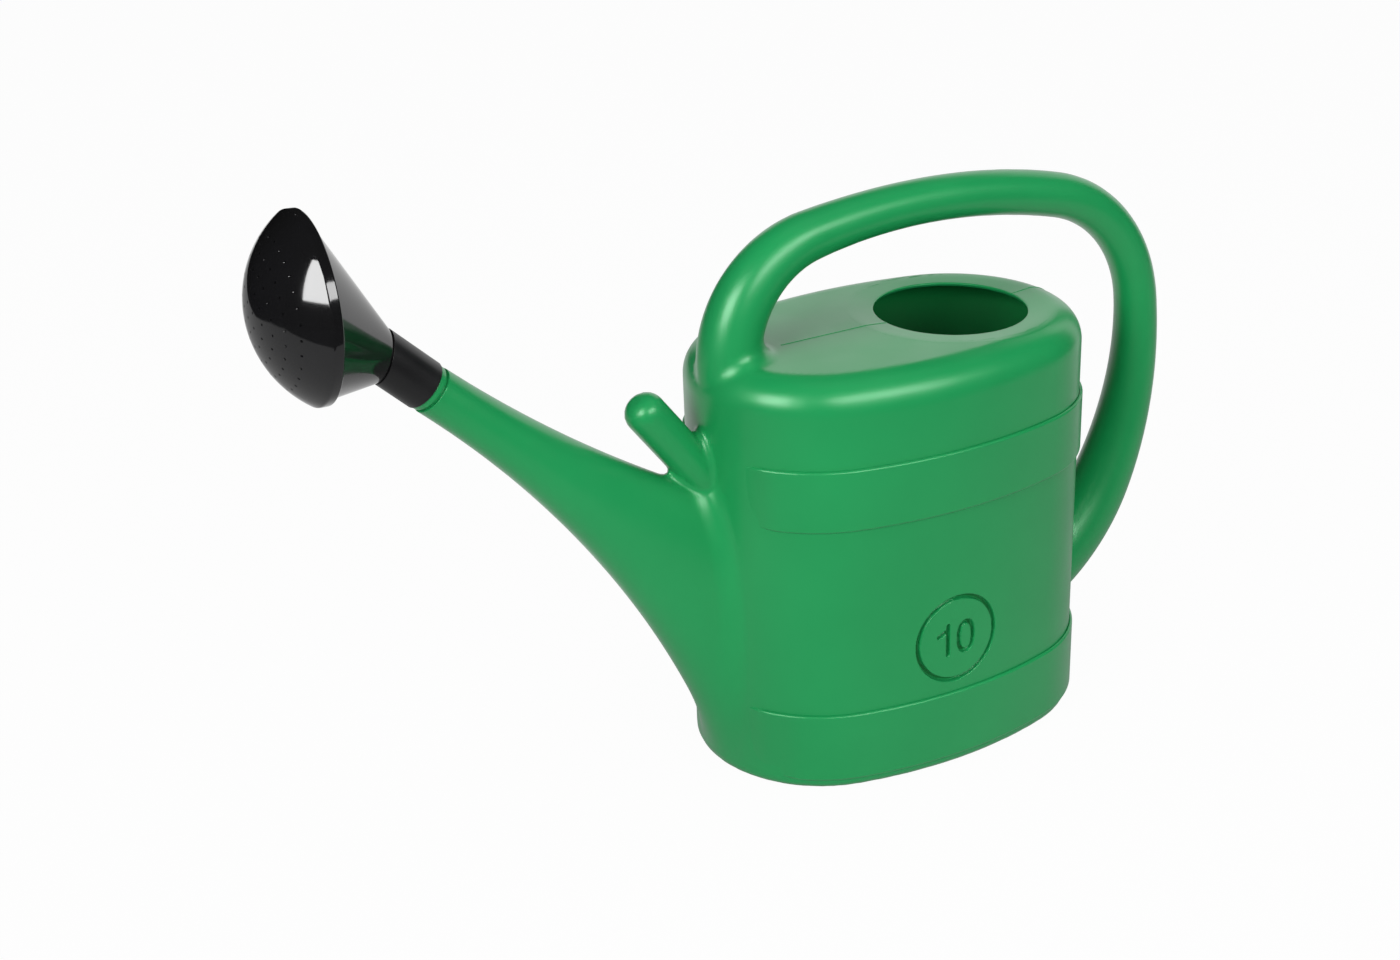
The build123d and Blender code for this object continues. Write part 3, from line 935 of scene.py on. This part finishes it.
cone_shares = np.linspace(0, 1, CONE_ROWS)
flange_profile = [
    (FLANGE_RADIUS - FLANGE_EDGE, 0.0),
    (FLANGE_RADIUS, FLANGE_EDGE),
    (FLANGE_RADIUS, FLANGE_THICK - FLANGE_EDGE),
    (FLANGE_RADIUS - FLANGE_EDGE, FLANGE_THICK),
    (FLANGE_INSIDE, FLANGE_THICK),
    (FLANGE_INSIDE, 0.0),
]
flange_rows = [loop_at(rim_middle + along * rim_axis, rim_axis, radius, radius) for radius, along in flange_profile]
socket_start, socket_end = socket_loop(SOCKET_RADIUS, SOCKET_GAP + SOCKET_EDGE), socket_loop(SOCKET_RADIUS)
socket_rows = [
    socket_loop(SOCKET_BORE + BORE_EDGE, SOCKET_GAP),
    socket_loop(SOCKET_RADIUS - SOCKET_EDGE, SOCKET_GAP),
    socket_loop(SOCKET_RADIUS - SOCKET_SOFT, SOCKET_GAP + SOCKET_SOFT),
    socket_start,
    socket_start + 0.5 * (socket_end - socket_start),
    socket_end - MITRE_EDGE * spout_axis,
    socket_loop(SOCKET_RADIUS - MITRE_STEP),
]
cone_rows = [cone_loop(share, 0.0) for share in cone_shares]
inner_rows = [cone_loop(share, ROSE_WALL) for share in cone_shares[::-1][1:-1]]
bore_rows = [
    socket_loop(SOCKET_BORE - BORE_STEP),
    socket_loop(SOCKET_BORE) - BORE_STEP * spout_axis,
    socket_loop(SOCKET_BORE, SOCKET_GAP + BORE_EDGE),
]
rows = socket_rows + cone_rows + flange_rows + inner_rows + bore_rows
faces = loop_strip(len(rows), AROUND)
rose_funnel = make_piece("rose_cone_and_socket", np.vstack(rows), faces, "rose")
ease_edges(rose_funnel, 30)
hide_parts("rose_funnel")
print("rose funnel:", len(rose_funnel.data.polygons), "faces")

# %% [markdown]
# ## Pierced face
# The face is a shallow dome with a short skirt that snaps over the funnel's flange. It is turned on the lathe, and the
# 91 fine holes are drilled along its axis with one boolean. The dome's normals are then set from its true sphere,
# because the small triangles round the holes would show in its gloss.

# %% Rose face
FACE_RADIUS, SKIRT_INSIDE, SKIRT_HEIGHT, DOME_HEIGHT = 51.9, 50.3, 5.5, 33.0
SKIRT_EDGE, SKIRT_BACK, SKIRT_BEVEL = 3.2, 1.1, 0.25
SEAT_INSIDE, SEAT_BOTTOM = 48.5, 2.6
POLE, FACE_AROUND = 0.02, 144
dome_rise = DOME_HEIGHT - SKIRT_HEIGHT
dome_radius = (FACE_RADIUS**2 + dome_rise**2) / (2 * dome_rise)
dome_centre = DOME_HEIGHT - dome_radius
inner_dome = dome_radius - ROSE_WALL


def dome_line(radius, first, last, steps):
    """Points on a sphere round the dome's centre, between two distances from the axis."""
    spread = np.linspace(np.arcsin(first / radius), np.arcsin(last / radius), steps)
    return [(radius * sin(a), dome_centre + radius * cos(a)) for a in spread]


# a small arc rolls the skirt's side into the dome
roll_out = FACE_RADIUS - SKIRT_EDGE
roll_along = dome_centre + ((dome_radius - SKIRT_EDGE) ** 2 - roll_out**2) ** 0.5
roll_end = np.arctan2(roll_along - dome_centre, roll_out)
profile = [(SEAT_INSIDE, SEAT_BOTTOM), (SKIRT_INSIDE, SEAT_BOTTOM)]
profile += [(SKIRT_INSIDE, SKIRT_BEVEL), (SKIRT_INSIDE + SKIRT_BEVEL, 0.0)]
profile += arc_points((FACE_RADIUS - SKIRT_BACK, SKIRT_BACK), SKIRT_BACK, -pi / 2, 0, 6)
profile += arc_points((roll_out, roll_along), SKIRT_EDGE, 0, roll_end, 7)
profile += dome_line(dome_radius, profile[-1][0], POLE, 40)[1:]
profile += dome_line(inner_dome, POLE, SEAT_INSIDE, 24)
points, faces = turned(profile, rim_middle, rim_axis, FACE_AROUND)
rose_face = make_piece("rose_dome", points, faces, "face")
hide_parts("rose_face")

# %% Holes
HOLE_RADIUS, HOLE_PITCH, HOLE_RINGS = 0.7, 8.0, 5
BIT_SIDES, BIT_SPAN = 12, (12.0, 40.0)
# small turns keep the bits' edges off the dome's own edges, where a cut leaves slivers
PATTERN_TURN, BIT_TURN = radians(1.1), radians(2.3)
SLIVER = 0.002
ON_DOME, ALONG_DOME = 0.05, 0.97


def drill_bits():
    """One mesh of round bars, one for each hole, in rings of six more holes each."""
    places = [(0.0, 0.0)]
    for ring in range(1, HOLE_RINGS + 1):
        for i in range(6 * ring):
            angle = 2 * pi * i / (6 * ring) + PATTERN_TURN
            places.append((ring * HOLE_PITCH * cos(angle), ring * HOLE_PITCH * sin(angle)))
    across = np.cross(SIDEWAYS, rim_axis)
    points, faces = [], []
    for x, y in places:
        near = [len(points) + i for i in range(BIT_SIDES)]
        far = [i + BIT_SIDES for i in near]
        for along in BIT_SPAN:
            for a in full_turn(BIT_SIDES) + BIT_TURN:
                out = (x + HOLE_RADIUS * cos(a)) * across + (y + HOLE_RADIUS * sin(a)) * SIDEWAYS
                points.append(rim_middle + along * rim_axis + out)
        faces += [(near[i], near[j], far[j], far[i]) for i, j in enumerate([*range(1, BIT_SIDES), 0])]
        faces += [tuple(near[::-1]), tuple(far)]
    return np.array(points), faces, len(places)


def drill(piece, points, faces):
    """Cuts the bars out of the piece, and merges what slivers the cut leaves."""
    mesh = bpy.data.meshes.new("drill_bits")
    mesh.from_pydata((points * METRES).tolist(), [], faces)
    bits = put_in_scene("drill_bits", mesh)
    cut = piece.modifiers.new("holes", "BOOLEAN")
    cut.operation, cut.solver, cut.object = "DIFFERENCE", "EXACT", bits
    done = bpy.data.meshes.new_from_object(piece.evaluated_get(bpy.context.evaluated_depsgraph_get()))
    piece.modifiers.clear()
    joined = bmesh.new()
    joined.from_mesh(done)
    bmesh.ops.remove_doubles(joined, verts=joined.verts, dist=SLIVER * METRES)
    bmesh.ops.dissolve_degenerate(joined, edges=joined.edges, dist=SLIVER * METRES)
    joined.to_mesh(done)
    joined.free()
    piece.data = done
    bpy.data.objects.remove(bits)
    bpy.data.meshes.remove(mesh)


def sphere_normals(mesh):
    """Normals from the dome's sphere on its two skins, and from the faces themselves elsewhere."""
    centre = (rim_middle + dome_centre * rim_axis) * METRES
    normals = [None] * len(mesh.loops)
    for face in mesh.polygons:
        flat = np.array(face.normal)
        for loop in face.loop_indices:
            place = np.array(mesh.vertices[mesh.loops[loop].vertex_index].co) - centre
            out = place / np.linalg.norm(place)
            lean = float(out @ flat)
            size = np.linalg.norm(place) / METRES
            on_dome = min(abs(size - dome_radius), abs(size - inner_dome)) < ON_DOME
            along_dome = abs(lean) > ALONG_DOME
            normals[loop] = tuple(np.sign(lean) * out) if on_dome and along_dome else (0.0, 0.0, 0.0)
    mesh.normals_split_custom_set(normals)


bits, bit_faces, holes = drill_bits()
drill(rose_face, bits, bit_faces)
rose_face.data.shade_smooth()
rose_face.data.set_sharp_from_angle(angle=radians(30))
sphere_normals(rose_face.data)
print("rose face:", holes, "holes,", len(rose_face.data.polygons), "faces")

# %% [markdown]
# ## Finishes
# Moulded plastic is never one flat colour: the green has faint clouds of pigment, an uneven satin and the fine grain of
# a blasted mould, and it shines more where it is seen at a low angle. Inside the can it is duller, and its colour is
# darker as painted shade. The rose is polished black plastic, and its socket is duller. One function makes all four,
# because they differ only in colour and in how strong each of these traits is.

# %% Node helpers
def new_material(name):
    """A material with its nodes and its links."""
    material = bpy.data.materials.new(name)
    material.use_nodes = True
    return material, material.node_tree.nodes, material.node_tree.links


def set_values(node, **values):
    """Writes values on a node's inputs. An underscore stands for a space in an input's name."""
    for name, value in values.items():
        node.inputs[name.replace("_", " ")].default_value = value


def map_range(nodes, links, source, start=(0.0, 1.0), end=(0.0, 1.0)):
    """Carries a value from one range to another."""
    node = nodes.new("ShaderNodeMapRange")
    set_values(node, From_Min=start[0], From_Max=start[1], To_Min=end[0], To_Max=end[1])
    links.new(source, node.inputs["Value"])
    return node.outputs["Result"]


def combine(nodes, links, operation, one, other):
    """The outcome of a sum on two values."""
    node = nodes.new("ShaderNodeMath")
    node.operation = operation
    links.new(one, node.inputs[0])
    links.new(other, node.inputs[1])
    return node.outputs[0]


# %% Plastic finishes
PIGMENT_SPREAD, SATIN_SPREAD, EDGE_SPREAD = (0.35, 0.65), (0.3, 0.7), (0.1, 0.8)
# how many times a metre the noise repeats, and how much detail it has
PIGMENT_NOISE, SATIN_NOISE, WAVE_NOISE, GRAIN_DETAIL = (9.0, 4.0), (38.0, 3.0), (22.0, 1.0), 2.0


def plastic(name, colour, shade, roughness, grain, heights, specular=0.5, ior=1.5, edge_specular=None):
    """A procedural plastic. Grain is the scale of its grain, heights are those of grain and waves in millimetres."""
    material, nodes, links = new_material(name)
    shader = nodes["Principled BSDF"]
    place = nodes.new("ShaderNodeTexCoord")

    def noise(label, scale, detail):
        node = nodes.new("ShaderNodeTexNoise")
        node.label = label
        set_values(node, Scale=scale, Detail=detail)
        links.new(place.outputs["Object"], node.inputs["Vector"])
        return node.outputs["Fac"]

    def bump(source, height):
        node = nodes.new("ShaderNodeBump")
        set_values(node, Strength=1.0, Distance=height * METRES)
        links.new(source, node.inputs["Height"])
        return node

    cloud = nodes.new("ShaderNodeValToRGB")
    for element, position, tone in zip(cloud.color_ramp.elements, PIGMENT_SPREAD, (shade, colour)):
        element.position, element.color = position, (*tone, 1)
    links.new(noise("pigment", *PIGMENT_NOISE), cloud.inputs["Fac"])
    links.new(cloud.outputs["Color"], shader.inputs["Base Color"])
    satin = map_range(nodes, links, noise("satin", *SATIN_NOISE), SATIN_SPREAD, roughness)
    links.new(satin, shader.inputs["Roughness"])
    waves = bump(noise("mould waves", *WAVE_NOISE), heights[1])
    fine = bump(noise("mould grain", grain, GRAIN_DETAIL), heights[0])
    links.new(waves.outputs["Normal"], fine.inputs["Normal"])
    links.new(fine.outputs["Normal"], shader.inputs["Normal"])
    set_values(shader, IOR=ior, Specular_IOR_Level=specular)
    if edge_specular:
        turned_away = nodes.new("ShaderNodeLayerWeight")
        set_values(turned_away, Blend=0.5)
        shine = map_range(nodes, links, turned_away.outputs["Facing"], EDGE_SPREAD, (specular, edge_specular))
        links.new(shine, shader.inputs["Specular IOR Level"])
    return material


green_satin = plastic("green_satin_plastic", (0.011, 0.300, 0.085), (0.009, 0.275, 0.077), (0.28, 0.33), 900.0,
                      (0.012, 0.05), specular=0.36, edge_specular=1.0)
# the inside's darker green is painted shade; its higher roughness is its duller surface
green_inside_painted_shade = plastic("green_plastic_inside_painted_shade", (0.006, 0.170, 0.040), (0.005, 0.150, 0.034), (0.45, 0.55), 500.0,
                       (0.020, 0.05), specular=0.15)
black_gloss = plastic("black_gloss_plastic", (0.008, 0.008, 0.009), (0.006, 0.006, 0.006), (0.06, 0.10), 300.0,
                      (0.001, 0.004), ior=1.59)
black_satin = plastic("black_satin_plastic", (0.008, 0.008, 0.009), (0.006, 0.006, 0.007), (0.34, 0.42), 700.0,
                      (0.006, 0.01), specular=0.48)
for piece in (can_skin, base_band, belt_band, spout_ring, filler_lip, parting_line, spout_end):
    piece.data.materials.append(green_satin)
for piece in (rose_funnel, rose_face):
    piece.data.materials.clear()
    piece.data.materials.append(black_gloss)
can_skin.data.materials.append(green_inside_painted_shade)
rose_funnel.data.materials.append(black_satin)
for face in rose_funnel.data.polygons:
    face.material_index = int(face.index < (len(socket_rows) - 1) * AROUND)
print("finishes:", [material.name for material in (green_satin, green_inside_painted_shade, black_gloss, black_satin)])

# %% [markdown]
# ## Studio
# The can stands on paper in front of a white background. The paper itself is a middling grey, so that it throws no more
# light back on the undersides than a studio's does. The camera sees it nearly white, with a trace of the can's shadow,
# and mirror-like rays see it glow: dim in front of the can and bright behind it. The air round the scene is white for
# the camera and for mirror-like rays too, and gives the colours only a little light.

# %% Floor and world
PAPER_WHITE, PAPER_MIRRORED, PAPER_TONES = 0.97, (0.42, 0.84), (0.56, 0.60)
PAPER_BRIGHT_FROM = (("X", -0.42, -0.2), ("Y", 0.06, 0.2))
AIR_LEVELS = (0.2, 1.0)
FLOOR, FLOOR_Z = 30.0, -0.0005


def white_paper():
    """Paper with a white of its own for the camera and a glow of its own for mirror-like rays."""
    material, nodes, links = new_material("white_paper")
    shader = nodes["Principled BSDF"]
    set_values(shader, Roughness=0.9, Specular_IOR_Level=0.1)
    tooth = nodes.new("ShaderNodeTexNoise")
    set_values(tooth, Scale=60.0)
    tint = nodes.new("ShaderNodeValToRGB")
    for element, tone in zip(tint.color_ramp.elements, PAPER_TONES):
        element.color = (tone, tone, tone, 1)
    links.new(tooth.outputs["Fac"], tint.inputs["Fac"])
    links.new(tint.outputs["Color"], shader.inputs["Base Color"])
    glow = nodes.new("ShaderNodeEmission")
    ray = nodes.new("ShaderNodeLightPath")
    place = nodes.new("ShaderNodeTexCoord")
    split = nodes.new("ShaderNodeSeparateXYZ")
    links.new(place.outputs["Object"], split.inputs[0])
    parts = [map_range(nodes, links, split.outputs[axis], (start, end)) for axis, start, end in PAPER_BRIGHT_FROM]
    dimmer = map_range(nodes, links, combine(nodes, links, "MULTIPLY", *parts), end=PAPER_MIRRORED)
    # of this node's plain numbers, input 0 is the share and inputs 2 and 3 are what it mixes
    level_seen = nodes.new("ShaderNodeMix")
    level_seen.inputs[2].default_value = 1.0
    links.new(ray.outputs["Is Glossy Ray"], level_seen.inputs[0])
    links.new(dimmer, level_seen.inputs[3])
    links.new(level_seen.outputs[0], glow.inputs["Strength"])
    seen = combine(nodes, links, "MAXIMUM", ray.outputs["Is Camera Ray"], ray.outputs["Is Transmission Ray"])
    share = nodes.new("ShaderNodeMath")
    share.operation = "MULTIPLY_ADD"
    share.inputs[1].default_value = PAPER_WHITE
    links.new(seen, share.inputs[0])
    links.new(ray.outputs["Is Glossy Ray"], share.inputs[2])
    mix = nodes.new("ShaderNodeMixShader")
    links.new(share.outputs[0], mix.inputs["Fac"])
    links.new(shader.outputs[0], mix.inputs[1])
    links.new(glow.outputs[0], mix.inputs[2])
    links.new(mix.outputs[0], nodes["Material Output"].inputs["Surface"])
    return material


def sheet(name, points, faces, material, only_mirrored=False):
    """A flat part of the studio, in metres. Some parts are met by mirror-like rays only."""
    mesh = bpy.data.meshes.new(name)
    mesh.from_pydata(points, [], faces)
    mesh.materials.append(material)
    made = put_in_scene(name, mesh)
    if only_mirrored:
        made.visible_camera = made.visible_diffuse = made.visible_shadow = False
        made.visible_transmission = made.visible_volume_scatter = False
    return made


corners = [(-FLOOR, -FLOOR, FLOOR_Z), (FLOOR, -FLOOR, FLOOR_Z), (FLOOR, FLOOR, FLOOR_Z), (-FLOOR, FLOOR, FLOOR_Z)]
floor = sheet("paper_floor", corners, [(0, 1, 2, 3)], white_paper())

world = bpy.data.worlds.new("studio")
bpy.context.scene.world = world
world.use_nodes = True
nodes, links = world.node_tree.nodes, world.node_tree.links
air = nodes["Background"]
set_values(air, Color=(1, 1, 1, 1))
ray = nodes.new("ShaderNodeLightPath")
seen = combine(nodes, links, "MAXIMUM", ray.outputs["Is Camera Ray"], ray.outputs["Is Glossy Ray"])
seen = combine(nodes, links, "MAXIMUM", seen, ray.outputs["Is Transmission Ray"])
links.new(map_range(nodes, links, seen, end=AIR_LEVELS), air.inputs["Strength"])
print("studio:", floor.name, "and world", world.name)

# %% [markdown]
# ## Dark room
# The paper ends on a dark floor, and the room behind the lamps is dark, which keeps the reflections in the glossy rose
# clean. Floor, walls and ceiling are one sheet of black cloth left, in front and right. Two boards behind the can,
# which photographers call flags, keep the white background out of edges that are dark in the photograph, such as the
# rose's upper rim. Only mirror-like rays meet the cloth and the flags.

# %% Dark room
PAPER_EDGE = [(0.35, 3.2), (-0.4, 3.2), (-1.0, 2.4), (-1.28, 1.13), (-1.8, 0.75), (-1.83, 0.24), (-1.35, -0.2),
              (-1.0, -0.42), (-0.2, -0.62), (1.3, -0.62), (1.9, 0.3)]
ROOM_MIDDLE, ROOM_DEPTH, CEILING = np.array([-0.2, 0.0]), 1.6, 3.4
BACK_CORNERS = [(2.6, 4.5), (-2.4, 4.5)]
CLOTH_Z, CLOTH_BLACK = 0.002, 0.01
FLAGS = [(0.42, 0.36, 0.70), (-0.04, 0.78, 0.66), (-0.04, 0.78, 0.28), (-0.25, 0.86, 0.28), (-0.25, 0.86, 1.41),
         (-0.04, 0.78, 1.41), (0.42, 0.36, 1.41)]
FLAG_CORNERS = ((0, 1, 5, 6), (2, 3, 4, 5))


def black_cloth():
    material, nodes, _ = new_material("black_cloth")
    black = (CLOTH_BLACK, CLOTH_BLACK, CLOTH_BLACK, 1)
    set_values(nodes["Principled BSDF"], Base_Color=black, Roughness=1.0, Specular_IOR_Level=0.0)
    return material


edge = np.array(PAPER_EDGE)
away = (edge - ROOM_MIDDLE) / np.hypot(*(edge - ROOM_MIDDLE).T)[:, None]
foot = edge + ROOM_DEPTH * away
points = [(*p, CLOTH_Z) for p in [*edge, *foot]] + [(*p, CEILING) for p in [*foot, *BACK_CORNERS]]
count, faces = len(edge), []
for first in (0, count):
    faces += [(first + i, first + i + 1, first + count + i + 1, first + count + i) for i in range(count - 1)]
faces.append(tuple(range(2 * count, len(points))))
faces += [tuple(len(points) + i for i in corners) for corners in FLAG_CORNERS]
dark_room = sheet("dark_room", points + FLAGS, faces, black_cloth(), only_mirrored=True)
print("dark room:", len(dark_room.data.polygons), "faces")

# %% [markdown]
# ## Soft boxes
# A soft box at the left shows as a window in the rose's dome and as a streak on the handle, and a wide low one in front
# brightens the near side. Their glowing fronts are met by mirror-like rays only. Three plain lamps, left, in front and
# above, light the colours and throw the shadow, and don't show in reflections. So the shine and the light on the
# colours can be set apart, which a photographer does with filters and distance.

# %% Lamps
def placed(thing, target, azimuth, elevation, distance):
    """Puts a lamp or a front where the target sees it at that azimuth (0 is -Y, positive to +X) and elevation."""
    a, e = radians(azimuth), radians(elevation)
    away = Vector((sin(a) * cos(e), -cos(a) * cos(e), sin(e)))
    thing.location = Vector(target) + distance * away
    thing.rotation_euler = away.to_track_quat("Z", "Y").to_euler()


def bright_front(name, size, strength):
    """The glowing front of a box, which only mirror-like rays meet."""
    material, nodes, links = new_material(name)
    glow = nodes.new("ShaderNodeEmission")
    set_values(glow, Strength=strength)
    links.new(glow.outputs[0], nodes["Material Output"].inputs["Surface"])
    x, y = size[0] / 2, size[1] / 2
    return sheet(name, [(-x, -y, 0), (-x, y, 0), (x, y, 0), (x, -y, 0)], [(0, 1, 2, 3)], material, only_mirrored=True)


def soft_lamp(name, size, power):
    """A lamp that lights the colours and doesn't show in reflections."""
    lamp = bpy.data.lights.new(name, "AREA")
    lamp.shape, lamp.size, lamp.size_y, lamp.energy = "RECTANGLE", size[0], size[1], power
    box = put_in_scene(name, lamp)
    box.visible_camera = box.visible_glossy = False
    return box


placed(bright_front("left_box_front", (0.475, 0.475), 14.0), (-0.3, 0.0, 0.33), -62, 31, 0.8)
placed(bright_front("front_box_front", (1.60, 0.70), 10.5), (0.0, -0.06, 0.26), 5, 35, 2.0)
placed(soft_lamp("left_lamp", (1.0, 1.0), 27.0), (0.0, 0.0, 0.2), -66, 24, 2.2)
placed(soft_lamp("front_lamp", (1.6, 0.8), 19.0), (0.0, 0.0, 0.2), 5, 20, 2.0)
placed(soft_lamp("top_lamp", (1.2, 1.2), 10.0), (0.0, 0.0, 0.27), 60, 78, 1.6)
print("lamps:", [lamp.name for lamp in bpy.data.lights])

# %% [markdown]
# ## Camera
# The camera stands where the photograph was taken from: in front on the spout's side, looking down on the can.

# %% Camera
SENSOR, LENS, CLIP = 36.0, 51.111, (0.05, 100.0)
CAMERA_PLACE = (-0.6485, -0.9541, 0.6780)
CAMERA_LOOKING, CAMERA_RIGHT = (0.4345, 0.8034, -0.4071), (0.8714, -0.4892, -0.0354)
camera = put_in_scene("camera", bpy.data.cameras.new("camera"))
camera.data.sensor_width, camera.data.lens = SENSOR, LENS
camera.data.clip_start, camera.data.clip_end = CLIP
looking, right = Vector(CAMERA_LOOKING).normalized(), Vector(CAMERA_RIGHT).normalized()
up = right.cross(looking).normalized()
turn = Matrix((right, up, -looking)).transposed().to_4x4()
camera.matrix_world = Matrix.Translation(CAMERA_PLACE) @ turn
bpy.context.scene.camera = camera
bpy.context.scene.view_settings.view_transform = "Standard"
print("camera at", CAMERA_PLACE)
